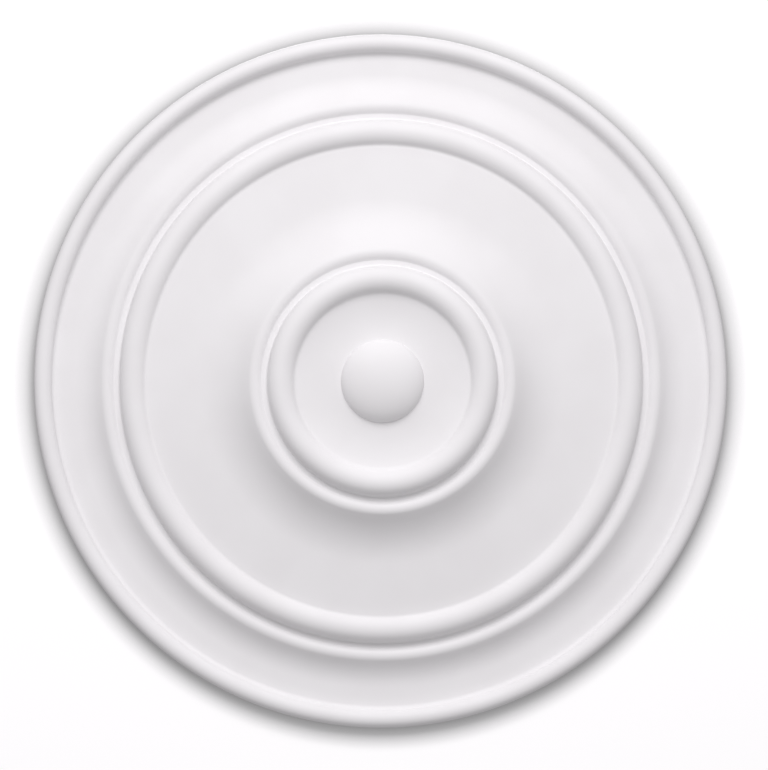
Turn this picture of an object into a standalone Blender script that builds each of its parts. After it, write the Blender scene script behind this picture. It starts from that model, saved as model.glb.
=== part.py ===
"""Ceiling rose: one round cast plaque of concentric mouldings, 400 mm across.

The rose hangs face down. Its back lies in the plane z = 0, which is the face of the
ceiling, and its relief reaches down towards -Z. The origin is the centre of the back.

The whole rose is one turned outline. On the face, from the rim inwards, run a rim bead,
a narrow outer plate that hollows up to a moulding, the wide sloping main plate, a second
hollow, the same moulding again on a smaller circle, a saucer and a round boss. The
moulding is a small roll outside and below a large bead, with a narrow sunk quirk between
the two. Small coves soften the inner feet of the beads. The back is flat, with shallow
ring grooves that key the adhesive.
"""

import math

import bpy

# Lengths are in metres and slopes in degrees. A height is a distance down from the
# ceiling. A slope is how far the surface leans from facing straight down, towards the rim.

ROSE_RADIUS = 0.200
EDGE_HEIGHT = 0.0050

RIM_OUTER_RADIUS = 0.0051
RIM_INNER_RADIUS = 0.0051
RIM_FOOT_SLOPE = 84.0
RIM_COVE_RADIUS = 0.0030
RIM_COVE_SLOPE = 60.0

OUTER_PLATE_WIDTH = 0.0100
OUTER_PLATE_SLOPE = 2.0
OUTER_HOLLOW_RADIUS = 0.0220
OUTER_SPLAY_WIDTH = 0.0020
OUTER_BEAD_FOOT_SLOPE = 50.0
OUTER_BEAD_COVE_RADIUS = 0.0025

MAIN_PLATE_SLOPE = 5.0
INNER_HOLLOW_RADIUS = 0.0440
INNER_SPLAY_WIDTH = 0.0030
INNER_BEAD_FOOT_SLOPE = 62.0

SPLAY_SLOPE = 42.0
ROLL_OUTER_RADIUS = 0.0048
ROLL_INNER_RADIUS = 0.0052
ROLL_FOOT_SLOPE = 44.0
QUIRK_OUTER_CORNER = 0.0015
QUIRK_FLOOR_WIDTH = 0.0018
QUIRK_INNER_CORNER = 0.0011
BEAD_WALL_SLOPE = 86.0
BEAD_OUTER_RADIUS = 0.0075
BEAD_INNER_RADIUS = 0.0082

SAUCER_RADIUS = 0.0510
SAUCER_EDGE_RADIUS = 0.0030
SAUCER_HOLLOW_RADIUS = 0.0700
SAUCER_LOW_RADIUS = 0.0325

BOSS_RADIUS = 0.0237
BOSS_TUCK = 0.0001
BOSS_DOME_HEIGHT = 0.0110
BOSS_ROUNDNESS = 2.1

CENTRE_PAD_RADIUS = 0.0400
RIM_LAND_WIDTH = 0.0240
KEY_COUNT = 4
KEY_WIDTH = 0.0080
KEY_DEPTH = 0.0025
KEY_DRAFT = 20.0

# How finely the outline and the turn are cut into flat faces, and the corner between two
# faces, in degrees, from which it is shaded as an edge.
ROUND_FACET = 22.5
CORNER_FACET = 45.0
HOLLOW_FACET = 10.0
BOSS_FACETS = 6
TURN_FACETS = 56
EDGE_ANGLE = 35.0

CAST_WHITE = (0.84, 0.83, 0.84, 1.0)
CAST_ROUGHNESS = 0.55


def clear_scene():
    for item in list(bpy.data.objects):
        bpy.data.objects.remove(item, do_unlink=True)


def cast_white():
    material = bpy.data.materials.new("cast_white")
    material.use_nodes = True
    shader = material.node_tree.nodes["Principled BSDF"]
    shader.inputs["Base Color"].default_value = CAST_WHITE
    shader.inputs["Roughness"].default_value = CAST_ROUGHNESS
    shader.inputs["Metallic"].default_value = 0.0
    return material


def slopes(first, last, facet):
    """Slopes from first to last, both included, no more than one facet apart."""
    steps = max(1, math.ceil(abs(last - first) / facet - 1e-6))
    return [math.radians(first + (last - first) * i / steps) for i in range(steps + 1)]


def round_over(centre_radius, centre_height, radius, first, last):
    """A round stretch that stands out of the face, as (radius, height) points."""
    return [(centre_radius + radius * math.sin(slope), centre_height + radius * math.cos(slope))
            for slope in slopes(first, last, ROUND_FACET)]


def hollow(start, radius, first, last, facet=HOLLOW_FACET):
    """A hollow stretch that begins at start and leans from first to last."""
    lean = math.radians(first)
    centre_radius = start[0] + radius * math.sin(lean)
    centre_height = start[1] + radius * math.cos(lean)
    return [(centre_radius - radius * math.sin(slope), centre_height - radius * math.cos(slope))
            for slope in slopes(first, last, facet)]


def ramp(start, width, slope):
    """The point that a straight stretch reaches, width nearer the axis than start."""
    return (start[0] - width, start[1] + width * math.tan(math.radians(slope)))


def hollow_width(radius, first, last):
    return radius * abs(math.sin(math.radians(last)) - math.sin(math.radians(first)))


def two_arcs(start, outer_radius, inner_radius, outer_slope, inner_slope):
    """An arc up from start to a crest, and another arc down inside it."""
    crest = start[0] - outer_radius * math.sin(math.radians(outer_slope))
    centre_height = start[1] - outer_radius * math.cos(math.radians(outer_slope))
    outer = round_over(crest, centre_height, outer_radius, outer_slope, 0.0)
    inner = round_over(crest, centre_height + outer_radius - inner_radius, inner_radius, 0.0, -inner_slope)
    return outer + inner[1:]


def moulding(start, foot_slope):
    """The roll, the quirk and the bead, from the top of a splay to the bead's inner foot."""
    roll = two_arcs(start, ROLL_OUTER_RADIUS, ROLL_INNER_RADIUS, SPLAY_SLOPE, ROLL_FOOT_SLOPE)
    outer_corner = hollow(roll[-1], QUIRK_OUTER_CORNER, -ROLL_FOOT_SLOPE, 0.0, CORNER_FACET)
    floor = ramp(outer_corner[-1], QUIRK_FLOOR_WIDTH, 0.0)
    inner_corner = hollow(floor, QUIRK_INNER_CORNER, 0.0, BEAD_WALL_SLOPE, CORNER_FACET)
    bead = two_arcs(inner_corner[-1], BEAD_OUTER_RADIUS, BEAD_INNER_RADIUS, BEAD_WALL_SLOPE, foot_slope)
    return roll[1:] + outer_corner[1:] + inner_corner + bead[1:]


def moulding_width(foot_slope):
    """How far the moulding reaches from the top of its splay to the inner foot of its bead."""
    return -moulding((0.0, 0.0), foot_slope)[-1][0]


def swept_moulding(plate_end, plate_slope, hollow_radius, splay_width, foot_slope):
    """The hollow and the splay at the end of a plate, and the moulding on top of them."""
    points = hollow(plate_end, hollow_radius, plate_slope, SPLAY_SLOPE)
    points.append(ramp(points[-1], splay_width, SPLAY_SLOPE))
    return points + moulding(points[-1], foot_slope)


def rim():
    """The rim's upright edge, its bead, and the cove at the bead's foot."""
    points = two_arcs((ROSE_RADIUS, EDGE_HEIGHT), RIM_OUTER_RADIUS, RIM_INNER_RADIUS, 90.0, RIM_FOOT_SLOPE)
    return points + hollow(points[-1], RIM_COVE_RADIUS, -RIM_COVE_SLOPE, 0.0, CORNER_FACET)[1:]


def outer_rings(start):
    """The outer plate, the first moulding, and the cove at the foot of its bead."""
    plate_end = ramp(start, OUTER_PLATE_WIDTH, OUTER_PLATE_SLOPE)
    points = swept_moulding(plate_end, OUTER_PLATE_SLOPE, OUTER_HOLLOW_RADIUS, OUTER_SPLAY_WIDTH,
                            OUTER_BEAD_FOOT_SLOPE)
    return points + hollow(points[-1], OUTER_BEAD_COVE_RADIUS, -OUTER_BEAD_FOOT_SLOPE,
                           MAIN_PLATE_SLOPE, CORNER_FACET)[1:]


def inner_rings(start):
    """The main plate and the second moulding, whose bead has its foot on the saucer's edge."""
    foot = SAUCER_RADIUS + moulding_width(INNER_BEAD_FOOT_SLOPE) + INNER_SPLAY_WIDTH
    foot += hollow_width(INNER_HOLLOW_RADIUS, MAIN_PLATE_SLOPE, SPLAY_SLOPE)
    plate_end = ramp(start, start[0] - foot, MAIN_PLATE_SLOPE)
    return swept_moulding(plate_end, MAIN_PLATE_SLOPE, INNER_HOLLOW_RADIUS, INNER_SPLAY_WIDTH,
                          INNER_BEAD_FOOT_SLOPE)


def saucer(start):
    """The rounded edge and the shallow hollow floor of the saucer, in to the boss."""
    edge_lean = SAUCER_EDGE_RADIUS * math.sin(math.radians(INNER_BEAD_FOOT_SLOPE))
    reach = SAUCER_RADIUS - edge_lean - SAUCER_LOW_RADIUS
    outer_slope = -math.degrees(math.asin(reach / (SAUCER_HOLLOW_RADIUS - SAUCER_EDGE_RADIUS)))
    inner_slope = math.degrees(math.asin((SAUCER_LOW_RADIUS - BOSS_RADIUS) / SAUCER_HOLLOW_RADIUS))
    edge = hollow(start, SAUCER_EDGE_RADIUS, -INNER_BEAD_FOOT_SLOPE, outer_slope, ROUND_FACET)
    floor = hollow(edge[-1], SAUCER_HOLLOW_RADIUS, outer_slope, inner_slope)
    return edge[1:] + floor[1:]


def boss(start):
    """A dome, a little flatter at its crown than an ellipse, that ends on the axis.

    Its foot is cut off by the saucer just inside the dome's own widest circle.
    """
    dome_radius = BOSS_RADIUS + BOSS_TUCK
    foot = math.acos((BOSS_RADIUS / dome_radius) ** (BOSS_ROUNDNESS / 2))
    sunk_height = start[1] - BOSS_DOME_HEIGHT * math.sin(foot)
    points = []
    for step in range(1, BOSS_FACETS):
        turn = foot + (math.pi / 2 - foot) * step / BOSS_FACETS
        points.append((dome_radius * math.cos(turn) ** (2 / BOSS_ROUNDNESS),
                       sunk_height + BOSS_DOME_HEIGHT * math.sin(turn)))
    points.append((0.0, sunk_height + BOSS_DOME_HEIGHT))
    return points


def face():
    """The whole moulded face, from the rim's edge to the middle of the boss."""
    points = rim()
    points += outer_rings(points[-1])
    points += inner_rings(points[-1])
    points += saucer(points[-1])
    return points + boss(points[-1])


def back():
    """The flat back with its shallow keying grooves, from the axis out to the rim's edge."""
    first = CENTRE_PAD_RADIUS
    last = ROSE_RADIUS - RIM_LAND_WIDTH - KEY_WIDTH
    draft = KEY_DEPTH * math.tan(math.radians(KEY_DRAFT))
    outline = [(0.0, 0.0)]
    for number in range(KEY_COUNT):
        inner = first + (last - first) * number / max(1, KEY_COUNT - 1)
        outer = inner + KEY_WIDTH
        outline += [(inner, 0.0), (inner + draft, KEY_DEPTH), (outer - draft, KEY_DEPTH), (outer, 0.0)]
    return outline + [(ROSE_RADIUS, 0.0)]


def turned(name, outline, material, collection):
    """Turn an outline of (radius, height) points about the upright axis and shade it smooth."""
    mesh = bpy.data.meshes.new(name + "_outline")
    points = [(radius, 0.0, -height) for radius, height in outline]
    mesh.from_pydata(points, [(i, i + 1) for i in range(len(points) - 1)], [])
    piece = bpy.data.objects.new(name, mesh)
    collection.objects.link(piece)
    turn = piece.modifiers.new("turn", "SCREW")
    turn.axis = "Z"
    turn.steps = TURN_FACETS
    turn.render_steps = TURN_FACETS
    turn.use_merge_vertices = True
    turn.merge_threshold = 0.00001
    depsgraph = bpy.context.evaluated_depsgraph_get()
    solid = bpy.data.meshes.new_from_object(piece.evaluated_get(depsgraph))
    solid.name = name
    piece.modifiers.clear()
    piece.data = solid
    bpy.data.meshes.remove(mesh)
    solid.materials.clear()
    solid.materials.append(material)
    solid.shade_smooth()
    solid.set_sharp_from_angle(angle=math.radians(EDGE_ANGLE))
    return piece


def main():
    clear_scene()
    collection = bpy.data.collections.new("ceiling_rose")
    bpy.context.scene.collection.children.link(collection)
    turned("ceiling_rose", back() + face(), cast_white(), collection)


main()
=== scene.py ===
# %% [markdown]
# # A cast ceiling rose
#
# A ceiling rose is a round plaque that sits flat against a ceiling. This one is a single
# light casting in white primer. It has no leaves or figures: everything that shows is one
# outline of plain mouldings, turned about the middle. So the lesson is short in pieces and
# long on that outline, on the turn that makes a solid of it, and on a finish that looks
# like paint and not like a plain grey number.
#
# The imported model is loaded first. It fixes where the rose is and how large it is: the
# flat back lies in the plane z = 0, and the relief hangs down from it, towards -Z.

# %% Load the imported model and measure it
import math

import bpy
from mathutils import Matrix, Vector


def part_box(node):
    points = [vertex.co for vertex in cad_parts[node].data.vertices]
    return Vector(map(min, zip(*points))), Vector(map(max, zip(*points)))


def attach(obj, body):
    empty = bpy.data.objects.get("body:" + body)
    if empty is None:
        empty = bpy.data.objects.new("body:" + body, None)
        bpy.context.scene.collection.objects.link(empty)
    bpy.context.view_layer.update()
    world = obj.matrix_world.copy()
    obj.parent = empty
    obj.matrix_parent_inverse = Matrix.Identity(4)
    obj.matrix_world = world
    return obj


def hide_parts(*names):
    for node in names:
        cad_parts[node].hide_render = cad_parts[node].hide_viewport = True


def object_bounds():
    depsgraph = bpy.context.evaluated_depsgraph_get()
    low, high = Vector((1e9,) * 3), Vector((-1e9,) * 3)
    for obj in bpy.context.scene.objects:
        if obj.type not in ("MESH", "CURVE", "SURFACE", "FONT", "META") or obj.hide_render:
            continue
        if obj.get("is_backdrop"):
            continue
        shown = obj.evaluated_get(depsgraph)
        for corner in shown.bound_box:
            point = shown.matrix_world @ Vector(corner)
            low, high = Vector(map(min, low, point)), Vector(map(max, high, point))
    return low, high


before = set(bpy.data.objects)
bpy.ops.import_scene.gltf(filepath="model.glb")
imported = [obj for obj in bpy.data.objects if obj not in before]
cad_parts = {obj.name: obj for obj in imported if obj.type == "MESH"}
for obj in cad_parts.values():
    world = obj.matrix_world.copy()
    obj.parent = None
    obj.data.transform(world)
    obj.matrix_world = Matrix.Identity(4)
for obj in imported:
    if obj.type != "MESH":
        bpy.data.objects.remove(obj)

CAD_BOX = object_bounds()
NODE_LOW, NODE_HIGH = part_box("ceiling_rose")
ROSE_RADIUS = NODE_HIGH.x
print(f"the rose is {2000 * ROSE_RADIUS:.1f} mm across and {-1000 * NODE_LOW.z:.1f} mm deep")

# %% [markdown]
# ## Three ways to draw part of an outline
#
# The outline is a list of (radius, height) points, where a height is a distance down from
# the ceiling. It runs over the face from the rim to the middle. At each point the surface
# leans by some slope: 0 degrees faces straight down, 90 degrees faces the rim.
#
# A moulding plane cuts only three kinds of stretch, so three helpers are enough. One draws
# a round that stands out, one draws a hollow, and one draws a straight ramp. Arcs given by
# a radius and two slopes join without a kink where their slopes agree, which a list of
# points placed by eye never does. A spline would also be smooth, but its radius can't be
# read off or changed.

# %% Rounds, hollows and ramps
ARC_STEP = 7.5
HOLLOW_STEP = 3.0
COUNT_SLACK = 1e-6


def slopes(first, last, step):
    """Slopes from first to last, both included, no more than one step apart, in radians."""
    count = max(1, math.ceil(abs(last - first) / step - COUNT_SLACK))
    return [math.radians(first + (last - first) * i / count) for i in range(count + 1)]


def round_over(centre_radius, centre_height, radius, first, last):
    """A round stretch that stands out of the face."""
    return [(centre_radius + radius * math.sin(slope), centre_height + radius * math.cos(slope))
            for slope in slopes(first, last, ARC_STEP)]


def hollow(start, radius, first, last, step=HOLLOW_STEP):
    """A hollow stretch that begins at start and leans from first to last."""
    lean = math.radians(first)
    centre_radius = start[0] + radius * math.sin(lean)
    centre_height = start[1] + radius * math.cos(lean)
    return [(centre_radius - radius * math.sin(slope), centre_height - radius * math.cos(slope))
            for slope in slopes(first, last, step)]


def ramp(start, width, slope):
    """The point that a straight stretch reaches, width nearer the axis than start."""
    return (start[0] - width, start[1] + width * math.tan(math.radians(slope)))


# %% [markdown]
# ## Beads
#
# A bead is close to a half round. The large beads of this rose have a slightly larger
# radius on their inner side than on their outer side, so a section is two arcs that share
# one crest. The bead on the rim is the smallest and stands on the rose's upright edge. Its
# inner side meets the plate in a small cove, which keeps the dark line there thin and gives
# it a soft lower edge, as in the photograph.

# %% The bead, and the rim that carries the first one
UPRIGHT_SLOPE = 90.0
EDGE_HEIGHT = 0.0050
RIM_OUTER_RADIUS = 0.0051
RIM_INNER_RADIUS = 0.0051
RIM_FOOT_SLOPE = 84.0
RIM_COVE_RADIUS = 0.0030
RIM_COVE_SLOPE = 60.0
CORNER_STEP = 11.25


def two_arcs(start, outer_radius, inner_radius, outer_slope, inner_slope):
    """An arc up from start to a crest, and another arc down inside it."""
    lean = math.radians(outer_slope)
    crest = start[0] - outer_radius * math.sin(lean)
    outer_centre = start[1] - outer_radius * math.cos(lean)
    inner_centre = outer_centre + outer_radius - inner_radius
    outer = round_over(crest, outer_centre, outer_radius, outer_slope, 0.0)
    inner = round_over(crest, inner_centre, inner_radius, 0.0, -inner_slope)
    return outer + inner[1:]


RIM = two_arcs((ROSE_RADIUS, EDGE_HEIGHT), RIM_OUTER_RADIUS, RIM_INNER_RADIUS,
               UPRIGHT_SLOPE, RIM_FOOT_SLOPE)
RIM += hollow(RIM[-1], RIM_COVE_RADIUS, -RIM_COVE_SLOPE, 0.0, CORNER_STEP)[1:]
print(f"the rim bead stands {1000 * max(height for radius, height in RIM):.1f} mm off the ceiling")

# %% [markdown]
# ## The moulding that comes twice
#
# The same moulding rings the rose on two circles. From outside inwards it is a small roll,
# a sunk channel that masons call a quirk, and a large bead. The quirk is what draws the
# dark line on the shaded side: light can't reach it past the bead. It is a narrow floor
# with two small round corners, because neither a mould nor a coat of primer keeps a square
# channel this narrow.
#
# It could be modelled twice by hand. A function that starts anywhere makes both rings from
# the same few sizes, as the one template cut both rings of the real master. Only the slope
# at which the bead's inner side stops is given each time, since the outer ring ends in a
# cove on the main plate and the inner one runs into the saucer.

# %% Roll, quirk and bead
SPLAY_SLOPE = 42.0
ROLL_OUTER_RADIUS = 0.0048
ROLL_INNER_RADIUS = 0.0052
ROLL_FOOT_SLOPE = 44.0
QUIRK_OUTER_CORNER = 0.0015
QUIRK_FLOOR_WIDTH = 0.0018
QUIRK_INNER_CORNER = 0.0011
BEAD_WALL_SLOPE = 86.0
BEAD_OUTER_RADIUS = 0.0075
BEAD_INNER_RADIUS = 0.0082


def moulding(start, foot_slope):
    """The roll, the quirk and the bead, from the top of a splay to the bead's inner foot."""
    roll = two_arcs(start, ROLL_OUTER_RADIUS, ROLL_INNER_RADIUS, SPLAY_SLOPE, ROLL_FOOT_SLOPE)
    outer_corner = hollow(roll[-1], QUIRK_OUTER_CORNER, -ROLL_FOOT_SLOPE, 0.0, CORNER_STEP)
    floor = ramp(outer_corner[-1], QUIRK_FLOOR_WIDTH, 0.0)
    inner_corner = hollow(floor, QUIRK_INNER_CORNER, 0.0, BEAD_WALL_SLOPE, CORNER_STEP)
    bead = two_arcs(inner_corner[-1], BEAD_OUTER_RADIUS, BEAD_INNER_RADIUS,
                    BEAD_WALL_SLOPE, foot_slope)
    return roll[1:] + outer_corner[1:] + inner_corner + bead[1:]


def moulding_width(foot_slope):
    """How far the moulding reaches from the top of its splay to the inner foot of its bead."""
    return -moulding((0.0, 0.0), foot_slope)[-1][0]


print(f"with a whole bead the moulding is {1000 * moulding_width(BEAD_WALL_SLOPE):.1f} mm wide")

# %% [markdown]
# ## Plates that sweep up to the mouldings
#
# Between the rim and the saucer lie two plates. Neither is quite flat: each rises slowly
# towards the middle, then sweeps up in a hollow and a short steep splay that carries the
# moulding. The slow rise is why one side of the plates looks paler than the other. The
# outer rings are chained inwards from the rim and the inner rings are placed from the
# saucer, so the main plate takes up whatever is left between them.

# %% Outer and inner rings
OUTER_PLATE_WIDTH = 0.0100
OUTER_PLATE_SLOPE = 2.0
OUTER_HOLLOW_RADIUS = 0.0220
OUTER_SPLAY_WIDTH = 0.0020
OUTER_BEAD_FOOT_SLOPE = 50.0
OUTER_BEAD_COVE_RADIUS = 0.0025
MAIN_PLATE_SLOPE = 5.0
INNER_HOLLOW_RADIUS = 0.0440
INNER_SPLAY_WIDTH = 0.0030
INNER_BEAD_FOOT_SLOPE = 62.0
SAUCER_RADIUS = 0.0510


def swept_moulding(plate_end, plate_slope, hollow_radius, splay_width, foot_slope):
    """The hollow and the splay at the end of a plate, and the moulding on top of them."""
    points = hollow(plate_end, hollow_radius, plate_slope, SPLAY_SLOPE)
    points.append(ramp(points[-1], splay_width, SPLAY_SLOPE))
    return points + moulding(points[-1], foot_slope)


def outer_rings(start):
    """The outer plate, its moulding, and the cove at the foot of the moulding's bead."""
    plate_end = ramp(start, OUTER_PLATE_WIDTH, OUTER_PLATE_SLOPE)
    points = swept_moulding(plate_end, OUTER_PLATE_SLOPE, OUTER_HOLLOW_RADIUS, OUTER_SPLAY_WIDTH,
                            OUTER_BEAD_FOOT_SLOPE)
    return points + hollow(points[-1], OUTER_BEAD_COVE_RADIUS, -OUTER_BEAD_FOOT_SLOPE,
                           MAIN_PLATE_SLOPE, CORNER_STEP)[1:]


def inner_rings(start):
    """The main plate and its moulding, whose bead has its foot on the saucer's edge."""
    sweep = math.sin(math.radians(SPLAY_SLOPE)) - math.sin(math.radians(MAIN_PLATE_SLOPE))
    foot = SAUCER_RADIUS + moulding_width(INNER_BEAD_FOOT_SLOPE) + INNER_SPLAY_WIDTH
    plate_end = ramp(start, start[0] - foot - INNER_HOLLOW_RADIUS * sweep, MAIN_PLATE_SLOPE)
    return swept_moulding(plate_end, MAIN_PLATE_SLOPE, INNER_HOLLOW_RADIUS, INNER_SPLAY_WIDTH,
                          INNER_BEAD_FOOT_SLOPE)


RINGS = RIM + outer_rings(RIM[-1])
RINGS += inner_rings(RINGS[-1])
print(f"the rings end at a radius of {1000 * RINGS[-1][0]:.1f} mm, on the saucer's edge")

# %% [markdown]
# ## Saucer and boss
#
# In the middle lies a shallow saucer with a round boss in it. The saucer's floor is one
# large hollow arc whose lowest ring is nearer the boss. The boss isn't half a ball: it is
# flatter on its crown and rounder at its side, which a superellipse draws with a single
# number for the roundness. The dome's widest circle lies a little outside the boss, so the
# saucer cuts it off before its side stands upright.

# %% Saucer and boss
SAUCER_EDGE_RADIUS = 0.0030
SAUCER_HOLLOW_RADIUS = 0.0700
SAUCER_LOW_RADIUS = 0.0325
BOSS_RADIUS = 0.0237
BOSS_TUCK = 0.0001
BOSS_DOME_HEIGHT = 0.0110
BOSS_ROUNDNESS = 2.1
BOSS_STEPS = 22


def saucer(start):
    """The rounded edge and the hollow floor of the saucer, in to the boss."""
    edge_lean = SAUCER_EDGE_RADIUS * math.sin(math.radians(INNER_BEAD_FOOT_SLOPE))
    reach = SAUCER_RADIUS - edge_lean - SAUCER_LOW_RADIUS
    outer_slope = -math.degrees(math.asin(reach / (SAUCER_HOLLOW_RADIUS - SAUCER_EDGE_RADIUS)))
    inner_slope = math.degrees(math.asin((SAUCER_LOW_RADIUS - BOSS_RADIUS) / SAUCER_HOLLOW_RADIUS))
    edge = hollow(start, SAUCER_EDGE_RADIUS, -INNER_BEAD_FOOT_SLOPE, outer_slope, CORNER_STEP)
    return edge[1:] + hollow(edge[-1], SAUCER_HOLLOW_RADIUS, outer_slope, inner_slope)[1:]


def boss(start):
    """A dome that is flatter at its crown than an ellipse and ends on the axis."""
    dome_radius = BOSS_RADIUS + BOSS_TUCK
    foot = math.acos((BOSS_RADIUS / dome_radius) ** (BOSS_ROUNDNESS / 2))
    sunk_height = start[1] - BOSS_DOME_HEIGHT * math.sin(foot)
    points = []
    for step in range(1, BOSS_STEPS):
        turn = foot + (math.pi / 2 - foot) * step / BOSS_STEPS
        points.append((dome_radius * math.cos(turn) ** (2 / BOSS_ROUNDNESS),
                       sunk_height + BOSS_DOME_HEIGHT * math.sin(turn)))
    return points + [(0.0, sunk_height + BOSS_DOME_HEIGHT)]


FACE = RINGS + saucer(RINGS[-1])
FACE += boss(FACE[-1])
FACE_DEPTH = max(height for radius, height in FACE)
print(f"the face has {len(FACE)} points and is {1000 * FACE_DEPTH:.1f} mm deep")

# %% [markdown]
# ## The back
#
# Nobody sees the back once the rose is up, but this is a part to be handled, so the back is
# finished as a caster leaves it: struck off flat, with four shallow grooves that key the
# adhesive. Grooves with drafted sides leave a mould easily.

# %% The flat back with its keying grooves
CENTRE_PAD_RADIUS = 0.0400
RIM_LAND_WIDTH = 0.0240
KEY_COUNT = 4
KEY_WIDTH = 0.0080
KEY_DEPTH = 0.0025
KEY_DRAFT = 20.0


def back():
    """The outline of the back, from the axis out to the rim's upright edge."""
    first = CENTRE_PAD_RADIUS
    last = ROSE_RADIUS - RIM_LAND_WIDTH - KEY_WIDTH
    draft = KEY_DEPTH * math.tan(math.radians(KEY_DRAFT))
    outline = [(0.0, 0.0)]
    for number in range(KEY_COUNT):
        inner = first + (last - first) * number / (KEY_COUNT - 1)
        outer = inner + KEY_WIDTH
        outline += [(inner, 0.0), (inner + draft, KEY_DEPTH),
                    (outer - draft, KEY_DEPTH), (outer, 0.0)]
    return outline + [(ROSE_RADIUS, 0.0)]


OUTLINE = back() + FACE
print(f"the whole outline has {len(OUTLINE)} points")

# %% [markdown]
# ## Easing the outside corners
#
# The inside corners of the face, such as the foot of the boss, stay as crisp as they left
# the mould, and each draws a thin dark line. An outside corner never does: it is rubbed
# down and handled, so the back's edge and the lips of its grooves have a tiny round that
# catches a thin line of light. Bevelling the finished solid would do it too, but there are
# only a few such corners in the outline, and easing them there is exact and cheap.
#
# Each outside corner is replaced by a short arc that touches both of its sides. Long
# straight stretches are then divided, so that smooth shading doesn't smear the light of a
# round across a wide plate.

# %% Ease outside corners and divide long stretches
EASED_RADIUS = 0.00045
EASED_SHARE = 0.45
EASED_FROM = 20.0
EASED_STEP = 18.0
LONGEST_STRETCH = 0.0065


def eased_corner(before, corner, after):
    """Points of the small arc that replaces an outside corner, or the corner itself."""
    here = Vector(corner)
    inward = (Vector(before) - here).normalized()
    onward = (Vector(after) - here).normalized()
    turn = math.pi - inward.angle(onward)
    stands_out = onward.cross(inward) > 0
    if math.degrees(turn) < EASED_FROM or not stands_out:
        return [corner]
    room = EASED_SHARE * min((Vector(before) - here).length, (Vector(after) - here).length)
    reach = min(room, EASED_RADIUS * math.tan(turn / 2))
    radius = reach / math.tan(turn / 2)
    centre = here + (inward + onward).normalized() * (radius / math.cos(turn / 2))
    first = (here + inward * reach - centre).normalized()
    last = (here + onward * reach - centre).normalized()
    count = math.ceil(math.degrees(turn) / EASED_STEP)
    return [tuple(centre + radius * first.slerp(last, i / count)) for i in range(count + 1)]


def eased(outline):
    """The outline with a small arc at each outside corner."""
    points = [outline[0]]
    for before, corner, after in zip(outline, outline[1:], outline[2:]):
        points += eased_corner(before, corner, after)
    return points + [outline[-1]]


def divided(outline):
    """The outline with no stretch longer than LONGEST_STRETCH."""
    points = [outline[0]]
    for start, end in zip(outline, outline[1:]):
        count = math.ceil(math.dist(start, end) / LONGEST_STRETCH)
        points += [tuple(Vector(start).lerp(Vector(end), i / count)) for i in range(1, count + 1)]
    return points


FINE_OUTLINE = divided(eased(OUTLINE))
print(f"eased and divided, the outline has {len(FINE_OUTLINE)} points")

# %% [markdown]
# ## Node trees in short lines
#
# Both the turn and the finish are node trees. Written out in full, each node takes four or
# five lines, and the idea gets lost. One small class holds an output socket and lets plain
# arithmetic add the Math nodes, so that `1 - mask` reads as it would on paper. A second one
# holds the tree and has one method for every other kind of node.

# %% A wire that does arithmetic, and a tree that makes nodes
class Wire:
    """An output socket. Arithmetic on it adds Math nodes to its tree."""

    def __init__(self, tree, socket):
        self.tree = tree
        self.socket = socket

    def math(self, operation, first, second):
        return self.tree.node("ShaderNodeMath", {"operation": operation}, {0: first, 1: second})

    def __add__(self, other):
        return self.math("ADD", self, other)

    def __radd__(self, other):
        return self.math("ADD", other, self)

    def __sub__(self, other):
        return self.math("SUBTRACT", self, other)

    def __rsub__(self, other):
        return self.math("SUBTRACT", other, self)

    def __mul__(self, other):
        return self.math("MULTIPLY", self, other)

    def __rmul__(self, other):
        return self.math("MULTIPLY", other, self)

    def __truediv__(self, other):
        return self.math("DIVIDE", self, other)

    def __rtruediv__(self, other):
        return self.math("DIVIDE", other, self)


class Tree:
    """A node tree that is emptied and then filled, one call for each node."""

    def __init__(self, tree):
        self.tree = tree
        tree.nodes.clear()

    def node(self, kind, settings=None, sockets=None, output=0):
        """Add a node, set it, feed its sockets with values or wires, and return one output."""
        made = self.tree.nodes.new(kind)
        for name, value in (settings or {}).items():
            setattr(made, name, value)
        for key, value in (sockets or {}).items():
            if isinstance(value, Wire):
                self.tree.links.new(value.socket, made.inputs[key])
            else:
                made.inputs[key].default_value = value
        return Wire(self, made.outputs[output]) if len(made.outputs) else None


print("node trees can be written as short expressions")

# %% [markdown]
# ## Turning the outline
#
# The real master was turned: a plaster disc spun under a fixed template of this outline. A
# Screw or Spin modifier does the same. Here Geometry Nodes turn it, because the rule is so
# plain that it shows how the nodes think. A grid gets one column for each outline point and
# one row for each step of the turn. Each grid point then looks up its column's outline point
# and is swung about the upright axis by its row's angle. Merging by distance closes the seam
# and both poles.
#
# Casting and sanding by hand leave the faces a hair out of true, so the tree also moves each
# point along its normal by a slow noise, always less than a tenth of a millimetre. The seed
# is fixed, and the amount and size are named inputs, as are the turn's steps.

# %% Build the lathe tree
SEAM_GAP = 1e-6
NOISE_MIDDLE = 0.5
UNEVENNESS_DETAIL = 1.0


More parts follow.
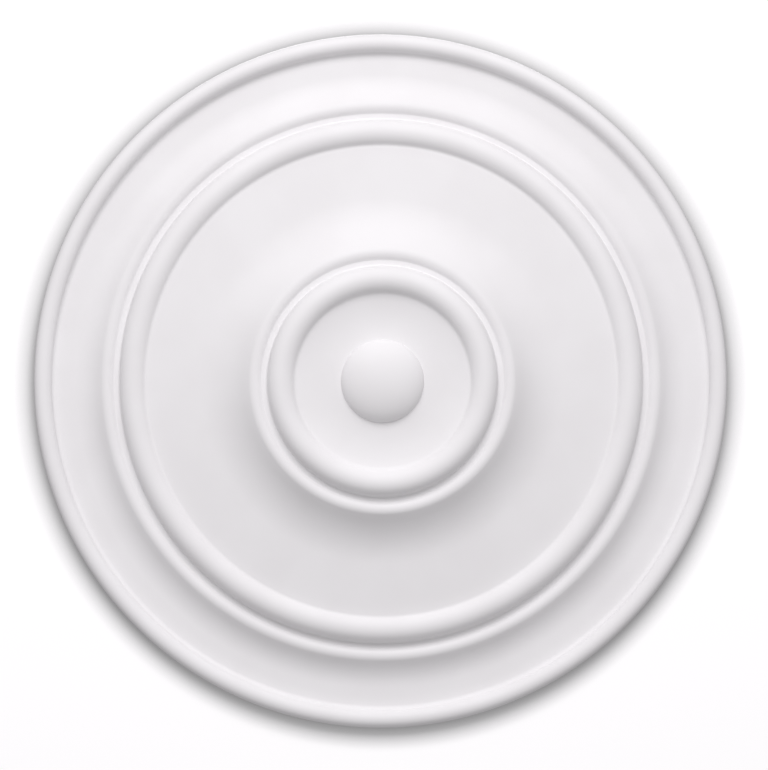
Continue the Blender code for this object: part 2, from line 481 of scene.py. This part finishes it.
def lathe_tree():
    """Geometry Nodes that turn an outline about Z: point order along it becomes the columns."""
    group = bpy.data.node_groups.new("lathe", "GeometryNodeTree")
    sockets = [("Geometry", "INPUT", "NodeSocketGeometry"),
               ("Turn Steps", "INPUT", "NodeSocketInt"),
               ("Unevenness", "INPUT", "NodeSocketFloat"),
               ("Unevenness Size", "INPUT", "NodeSocketFloat"),
               ("Seed", "INPUT", "NodeSocketFloat"),
               ("Finish", "INPUT", "NodeSocketMaterial"),
               ("Geometry", "OUTPUT", "NodeSocketGeometry")]
    for name, direction, kind in sockets:
        group.interface.new_socket(name=name, in_out=direction, socket_type=kind)
    tree = Tree(group)
    given = tree.node("NodeGroupInput")

    def named(name):
        return Wire(tree, given.socket.node.outputs[name])

    outline = named("Geometry")
    steps = named("Turn Steps")
    points = tree.node("GeometryNodeAttributeDomainSize", {"component": "MESH"}, {0: outline})
    grid = tree.node("GeometryNodeMeshGrid", {}, {"Vertices X": points, "Vertices Y": steps + 1})
    index = tree.node("GeometryNodeInputIndex")
    column = tree.node("ShaderNodeMath", {"operation": "FLOOR"}, {0: index / (steps + 1)})
    row = index - column * (steps + 1)
    place = tree.node("GeometryNodeInputPosition")
    spot = tree.node("GeometryNodeSampleIndex", {"data_type": "FLOAT_VECTOR", "domain": "POINT"},
                     {"Geometry": outline, "Value": place, "Index": column})
    swung = tree.node("ShaderNodeVectorRotate", {"rotation_type": "Z_AXIS"},
                      {"Vector": spot, "Angle": row * math.tau / steps})
    turned = tree.node("GeometryNodeSetPosition", {}, {"Geometry": grid, "Position": swung})
    closed = tree.node("GeometryNodeMergeByDistance", {}, {"Geometry": turned, "Distance": SEAM_GAP})
    noise = tree.node("ShaderNodeTexNoise", {"noise_dimensions": "4D"},
                      {"W": named("Seed"), "Scale": 1 / named("Unevenness Size"),
                       "Detail": UNEVENNESS_DETAIL})
    normal = tree.node("GeometryNodeInputNormal")
    amount = (noise - NOISE_MIDDLE) * named("Unevenness")
    shift = tree.node("ShaderNodeVectorMath", {"operation": "SCALE"}, {0: normal, "Scale": amount})
    uneven = tree.node("GeometryNodeSetPosition", {}, {"Geometry": closed, "Offset": shift})
    smooth = tree.node("GeometryNodeSetShadeSmooth", {}, {"Geometry": uneven, "Shade Smooth": True})
    real = tree.node("GeometryNodeRealizeInstances", {}, {"Geometry": smooth})
    finished = tree.node("GeometryNodeSetMaterial", {}, {"Geometry": real, "Material": named("Finish")})
    tree.node("NodeGroupOutput", {}, {0: finished})
    return group


LATHE = lathe_tree()
print(f"the lathe tree has {len(LATHE.nodes)} nodes")

# %% [markdown]
# ## The finish of the face
#
# The rose is sold primed: a thin, even coat of white with a faint sheen, neither chalk nor
# gloss. Three things keep it from looking like a plain number. Sprayed primer dries in a
# fine, soft stipple that breaks up the sheen. Its white drifts very slightly from place to
# place. And it dries a little tighter in some patches than in others, which changes the
# roughness but not the colour.

# %% Colours and measures of the primer
PRIMED_WHITE = (0.846, 0.840, 0.846, 1.0)
PRIMED_DRIFT = (0.830, 0.822, 0.828, 1.0)
PRIMED_ROUGHNESS = 0.62
PRIMED_SHEEN = 0.34
PATCH_SCALE = 26.0
PATCH_RANGE = (0.35, 0.65)
PATCH_ROUGHNESS = 0.16
STIPPLE_SCALE = 950.0
STIPPLE_ROUGHNESS = 0.10
STIPPLE_RELIEF = 0.30
RELIEF_DEPTH = 0.0001
RELIEF_STRENGTH = 0.5
print(f"patches of about {1000 / PATCH_SCALE:.0f} mm, a stipple of about {1000 / STIPPLE_SCALE:.0f} mm")

# %% [markdown]
# ## The finish of the back
#
# The back isn't primed. It is the bare casting: a warmer, duller white with small open pores,
# which are painted darker as shade inside them, and faint rings where it was struck off. A
# ragged edge of overspray has drifted round the rim onto it. One material holds both, mixed
# by a mask that is worked out from the place on the piece, so that the boundary can be as
# ragged as real overspray.

# %% Colours and measures of the bare back and of the overspray
BARE_WHITE = (0.735, 0.705, 0.640, 1.0)
# Painted shade: the darker colour given to the inside of the pores.
PORE_PAINTED_SHADE = (0.520, 0.480, 0.410, 1.0)
BARE_ROUGHNESS = 0.86
BARE_STIPPLE_RELIEF = 0.6
PORE_SCALE = 240.0
PORE_RANGE = (0.16, 0.30)
PORE_PATCHINESS = 0.25
PORE_SHADE_STRENGTH = 0.7
PORE_RELIEF = 1.6
RING_PITCH = 0.0036
RING_WANDER = 0.001
RING_RELIEF = 0.22
OVERSPRAY_EDGE = 0.1900
OVERSPRAY_FADE = 0.0050
OVERSPRAY_WANDER = 0.012
OVERSPRAY_SPECKLE = 0.004
BACK_DEPTH = 0.0034
BACK_FADE_FROM = 0.8
print(f"struck rings {1000 * RING_PITCH:.1f} mm apart, bare out to about {1000 * OVERSPRAY_EDGE:.0f} mm")


# %% Three nodes that the finishes need often
def colour_mix(tree, factor, first, second):
    """A Mix node on colours, which are its sockets 6 and 7 and its output 2."""
    return tree.node("ShaderNodeMix", {"data_type": "RGBA"}, {0: factor, 6: first, 7: second}, 2)


def ranged(tree, value, low, high, to_low=0.0, to_high=1.0):
    """Map value smoothly from low..high to to_low..to_high, and hold it there outside."""
    return tree.node("ShaderNodeMapRange", {"interpolation_type": "SMOOTHSTEP"},
                     {0: value, 1: low, 2: high, 3: to_low, 4: to_high})


def noise_at(tree, place, scale, detail=2.0):
    """A soft noise between 0 and 1, with about scale patches to the metre."""
    return tree.node("ShaderNodeTexNoise", {}, {"Vector": place, "Scale": scale, "Detail": detail})


print("mixes, ranges and noises take one short call each")


# %% Primer, bare back and the mask between them
def casting_finish():
    """White primer on the face and the edge, bare casting on the back."""
    material = bpy.data.materials.new("primed_casting")
    material.use_nodes = True
    tree = Tree(material.node_tree)
    place = tree.node("ShaderNodeTexCoord", {}, {}, "Object")
    flat_place = tree.node("ShaderNodeVectorMath", {"operation": "MULTIPLY"},
                           {0: place, 1: (1.0, 1.0, 0.0)})
    radius = tree.node("ShaderNodeVectorMath", {"operation": "LENGTH"}, {0: flat_place}, "Value")
    height = -1 * tree.node("ShaderNodeSeparateXYZ", {}, {0: place}, "Z")
    patches = noise_at(tree, place, PATCH_SCALE)
    stipple = noise_at(tree, place, STIPPLE_SCALE)
    pores = tree.node("ShaderNodeTexVoronoi", {}, {"Vector": place, "Scale": PORE_SCALE}, "Distance")

    patch_sway = patches - NOISE_MIDDLE
    stipple_sway = stipple - NOISE_MIDDLE
    drift = radius + patch_sway * OVERSPRAY_WANDER + stipple_sway * OVERSPRAY_SPECKLE
    within = ranged(tree, drift, OVERSPRAY_EDGE - OVERSPRAY_FADE, OVERSPRAY_EDGE, 1.0, 0.0)
    bare = within * ranged(tree, height, BACK_FADE_FROM * BACK_DEPTH, BACK_DEPTH, 1.0, 0.0)
    pore = ranged(tree, pores + (1 - patches) * PORE_PATCHINESS, *PORE_RANGE, 1.0, 0.0)
    ring_turn = (radius + patches * RING_WANDER) * (math.tau / RING_PITCH)
    rings = tree.node("ShaderNodeMath", {"operation": "SINE"}, {0: ring_turn})

    primed = colour_mix(tree, ranged(tree, patches, *PATCH_RANGE), PRIMED_WHITE, PRIMED_DRIFT)
    # Painted shade: the colour darkens inside the pores, where their own shade would fall.
    raw = colour_mix(tree, pore * PORE_SHADE_STRENGTH, BARE_WHITE, PORE_PAINTED_SHADE)
    sheen = PRIMED_ROUGHNESS + patch_sway * PATCH_ROUGHNESS + stipple_sway * STIPPLE_ROUGHNESS
    rough = sheen + bare * (BARE_ROUGHNESS - sheen)
    primer_relief = stipple * STIPPLE_RELIEF
    bare_relief = rings * RING_RELIEF + stipple * BARE_STIPPLE_RELIEF - pore * PORE_RELIEF
    relief = primer_relief + bare * (bare_relief - primer_relief)
    normal = tree.node("ShaderNodeBump", {}, {"Strength": RELIEF_STRENGTH,
                                              "Distance": RELIEF_DEPTH, "Height": relief})
    shader = tree.node("ShaderNodeBsdfPrincipled", {},
                       {"Base Color": colour_mix(tree, bare, primed, raw), "Roughness": rough,
                        "Specular IOR Level": PRIMED_SHEEN, "Normal": normal})
    tree.node("ShaderNodeOutputMaterial", {}, {"Surface": shader})
    return material


FINISH = casting_finish()
print(f"the finish has {len(FINISH.node_tree.nodes)} nodes")

# %% [markdown]
# ## One piece from the lathe
#
# The outline becomes a mesh of loose edges, the tree turns it, and the result is copied to a
# plain mesh so that nothing is left live on the piece. The steps of the turn are what make
# the circles look round: at this many, the flats on the rim fall short of the true circle by
# about a hundredth of a millimetre. The few inside corners are then marked as sharp edges,
# so that the smooth shading stops at them.

# %% Turn the rose
TURN_STEPS = 320
SHARP_FROM = 25.0
UNEVENNESS = 0.00016
UNEVENNESS_SIZE = 0.055
UNEVENNESS_SEED = 4.0


def turned_piece(name, outline, inputs):
    """Turn an outline of (radius, height) points into a plain mesh with its finish on it."""
    line = bpy.data.meshes.new(name + "_outline")
    line.from_pydata([(radius, 0.0, -height) for radius, height in outline],
                     [(i, i + 1) for i in range(len(outline) - 1)], [])
    piece = bpy.data.objects.new(name, line)
    modifier = piece.modifiers.new("lathe", "NODES")
    modifier.node_group = LATHE
    for item in LATHE.interface.items_tree:
        if item.name in inputs:
            modifier[item.identifier] = inputs[item.name]
    bpy.context.scene.collection.objects.link(piece)
    depsgraph = bpy.context.evaluated_depsgraph_get()
    solid = bpy.data.meshes.new_from_object(piece.evaluated_get(depsgraph))
    piece.modifiers.clear()
    piece.data = solid
    solid.name = name
    solid.set_sharp_from_angle(angle=math.radians(SHARP_FROM))
    solid.materials.pop(index=0)  # the empty slot that every grid starts with
    bpy.data.meshes.remove(line)
    return piece


rose = turned_piece("cast_rose", FINE_OUTLINE, {
    "Turn Steps": TURN_STEPS, "Unevenness": UNEVENNESS, "Unevenness Size": UNEVENNESS_SIZE,
    "Seed": UNEVENNESS_SEED, "Finish": FINISH})
rose.data.calc_loop_triangles()
print(f"{rose.name} has {len(rose.data.loop_triangles)} triangles")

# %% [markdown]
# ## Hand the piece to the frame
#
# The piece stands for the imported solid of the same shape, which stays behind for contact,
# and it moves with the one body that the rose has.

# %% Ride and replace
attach(rose, "root")
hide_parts("ceiling_rose")
print(f"{rose.name} stands for ceiling_rose")

# %% [markdown]
# ## A ceiling to sit on and a floor far below
#
# The rose is seen from straight below, against a plain white ceiling. The ceiling faces down
# and is clear from above, so that the back of the rose can be looked at too. The floor lies
# well below the camera. Neither takes part in the light on the rose, so that both can be as
# pale as they need to be.
#
# Round a real rose the ceiling has a soft dark fringe, because the edge hides a part of the
# room from it. Here that shade is painted: a fixed dark ring would fit only one edge, so an
# Ambient Occlusion node measures how much is hidden and dims paint and glow alike.

# %% Ceiling and floor
CEILING_SIZE = 6.0
CEILING_GAP = 0.0010
CEILING_GLOW = 0.18
CEILING_WHITE = 0.95
FLOOR_SIZE = 60.0
FLOOR_DROP = 2.6
FLOOR_WHITE = 0.76
# Painted shade: how far out and how finely the darkening round the rose's edge is measured.
PAINTED_SHADE_REACH = 0.014
PAINTED_SHADE_SAMPLES = 32
BLACK = (0.0, 0.0, 0.0, 1.0)
FULL_WHITE = (1.0, 1.0, 1.0, 1.0)


def plain_surface(name, size, height, facing_down, white, glow):
    """A stage plane that the camera sees but that sends no light back to the rose."""
    half = size / 2
    corners = [(-half, -half, height), (half, -half, height),
               (half, half, height), (-half, half, height)]
    order = (3, 2, 1, 0) if facing_down else (0, 1, 2, 3)
    mesh = bpy.data.meshes.new(name)
    mesh.from_pydata(corners, [], [order])
    material = bpy.data.materials.new(name)
    material.use_nodes = True
    tree = Tree(material.node_tree)
    # Painted shade: the Ambient Occlusion value darkens both the paint and the glow of the plane near
    # the rose's edge.
    unhidden = tree.node("ShaderNodeAmbientOcclusion", {"samples": PAINTED_SHADE_SAMPLES},
                         {"Distance": PAINTED_SHADE_REACH}, "AO")
    painted_shade = unhidden * (1 + unhidden) / 2
    shaded_paint = colour_mix(tree, painted_shade, BLACK, (white, white, white, 1.0))
    shaded_glow = colour_mix(tree, painted_shade, BLACK, FULL_WHITE)
    shade = tree.node("ShaderNodeBsdfPrincipled", {}, {
        "Base Color": shaded_paint, "Roughness": 1.0, "Specular IOR Level": 0.0,
        "Emission Color": shaded_glow, "Emission Strength": glow})
    clear = tree.node("ShaderNodeBsdfTransparent")
    behind = tree.node("ShaderNodeNewGeometry", {}, {}, "Backfacing")
    mixed = tree.node("ShaderNodeMixShader", {}, {0: behind, 1: shade, 2: clear})
    tree.node("ShaderNodeOutputMaterial", {}, {"Surface": mixed})
    mesh.materials.append(material)
    plane = bpy.data.objects.new(name, mesh)
    bpy.context.scene.collection.objects.link(plane)
    plane.visible_diffuse = False
    plane.visible_glossy = False
    plane.visible_shadow = False
    plane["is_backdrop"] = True


plain_surface("ceiling", CEILING_SIZE, CEILING_GAP, True, CEILING_WHITE, CEILING_GLOW)
plain_surface("floor", FLOOR_SIZE, -FLOOR_DROP, False, FLOOR_WHITE, 0.0)
print(f"the floor lies {FLOOR_DROP:.1f} m below the ceiling")

# %% [markdown]
# ## Soft studio light
#
# Relief this low is drawn by light alone. One broad soft box stands off the top of the
# picture, about 40 degrees from straight below, and makes the upper slopes bright and the
# lower ones grey. A weak one on the other side and a pale surround keep the grey soft. All
# of them are tinted a touch away from green, as the photograph's greys are. A wide soft sun
# from above lights the back and the floor. It leans from the top of the picture, so it also
# grazes the upright edge there, but it never reaches the face.

# %% Lights and surround
KEY_LEAN = 42.0
KEY_TURN = 92.0
KEY_SIZE = (2.0, 1.2)
KEY_POWER = 38.8
FILL_LEAN = 30.0
FILL_TURN = -90.0
FILL_SIZE = (1.2, 1.2)
FILL_POWER = 3.0
LIGHT_DISTANCE = 2.2
LIGHT_TINT = (1.0, 0.98, 1.0)
SURROUND = 0.375
SEEN_SURROUND = (0.72, 0.72, 0.73, 1.0)
SUN_STRENGTH = 1.9
SUN_ANGLE = 25.0
SUN_LEAN = 24.0


def soft_box(name, lean, turn, size, power):
    """A soft box that leans off straight down; turn 90 is the top of the picture, 0 its right."""
    round_to = math.radians(turn)
    sideways = math.sin(math.radians(lean))
    down = math.cos(math.radians(lean))
    towards = Vector((sideways * math.cos(round_to), -sideways * math.sin(round_to), -down))
    light = bpy.data.lights.new(name, "AREA")
    light.shape = "RECTANGLE"
    light.size = size[0]
    light.size_y = size[1]
    light.energy = power
    light.color = LIGHT_TINT
    box = bpy.data.objects.new(name, light)
    box.location = towards * LIGHT_DISTANCE
    box.rotation_euler = (-towards).to_track_quat("-Z", "Y").to_euler()
    box.visible_camera = False
    bpy.context.scene.collection.objects.link(box)


soft_box("key", KEY_LEAN, KEY_TURN, KEY_SIZE, KEY_POWER)
soft_box("fill", FILL_LEAN, FILL_TURN, FILL_SIZE, FILL_POWER)

sun_light = bpy.data.lights.new("overhead", "SUN")
sun_light.energy = SUN_STRENGTH
sun_light.angle = math.radians(SUN_ANGLE)
sun = bpy.data.objects.new("overhead", sun_light)
sun.rotation_euler = (math.radians(SUN_LEAN), 0.0, 0.0)
bpy.context.scene.collection.objects.link(sun)

world = bpy.data.worlds.new("pale surround")
bpy.context.scene.world = world
world.use_nodes = True
surround = Tree(world.node_tree)
seen = surround.node("ShaderNodeBackground", {}, {"Color": SEEN_SURROUND, "Strength": 1.0})
lighting = surround.node("ShaderNodeBackground", {}, {"Color": (*LIGHT_TINT, 1.0), "Strength": SURROUND})
to_camera = surround.node("ShaderNodeLightPath", {}, {}, "Is Camera Ray")
either = surround.node("ShaderNodeMixShader", {}, {0: to_camera, 1: lighting, 2: seen})
surround.node("ShaderNodeOutputWorld", {}, {0: either})
bpy.context.scene.view_settings.view_transform = "Standard"
print(f"a key of {KEY_POWER:.0f} W, a fill of {FILL_POWER:.0f} W and a soft sun for the back")

# %% [markdown]
# ## The camera
#
# The photograph looks straight up at the rose, from so far away that the ring nearest the
# camera is hardly larger than it would be on the ceiling. A long lens far back gives that.
# The picture's up is -Y and its right is +X. Two small things are read off the photograph.
# The inner rings, which stand nearest the camera, lie about a pixel and a half to the right
# of the rim's middle, so the camera leans a degree or two to the left. And the rose isn't
# quite in the middle of the picture, which a small lens shift puts right.

# %% Camera
PHOTO_WIDTH = 768
PHOTO_HEIGHT = 770
ROSE_WIDTH_PIXELS = 691.2
ROSE_CENTRE_PIXELS = (381.3, 381.0)
VIEW_LEAN = 1.5
LENS = 180.0
SENSOR = 36.0

lens = bpy.data.cameras.new("camera")
lens.lens = LENS
lens.sensor_width = SENSOR
lens.shift_x = (PHOTO_WIDTH / 2 - ROSE_CENTRE_PIXELS[0]) / PHOTO_WIDTH
lens.shift_y = -(PHOTO_HEIGHT / 2 - ROSE_CENTRE_PIXELS[1]) / PHOTO_WIDTH
view_width = 2 * ROSE_RADIUS * PHOTO_WIDTH / ROSE_WIDTH_PIXELS
distance = view_width * LENS / SENSOR
lean = math.radians(VIEW_LEAN)
camera = bpy.data.objects.new("camera", lens)
camera.location = (-distance * math.sin(lean), 0.0, -EDGE_HEIGHT - distance * math.cos(lean))
camera.rotation_euler = (math.pi, lean, 0.0)
bpy.context.scene.collection.objects.link(camera)
bpy.context.scene.camera = camera
print(f"the camera looks up from {-camera.location.z:.2f} m below the ceiling")

# %% [markdown]
# ## Print both sizes
#
# Both boxes are printed: the imported model's from the start, and the finished piece's from now.
# The looks may not change the part's size.

# %% Sizes
VISUAL_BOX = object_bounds()
for label, box in (("packed", CAD_BOX), ("finished", VISUAL_BOX)):
    print(label, [round(1000 * (high - low), 2) for low, high in zip(*box)], "mm")
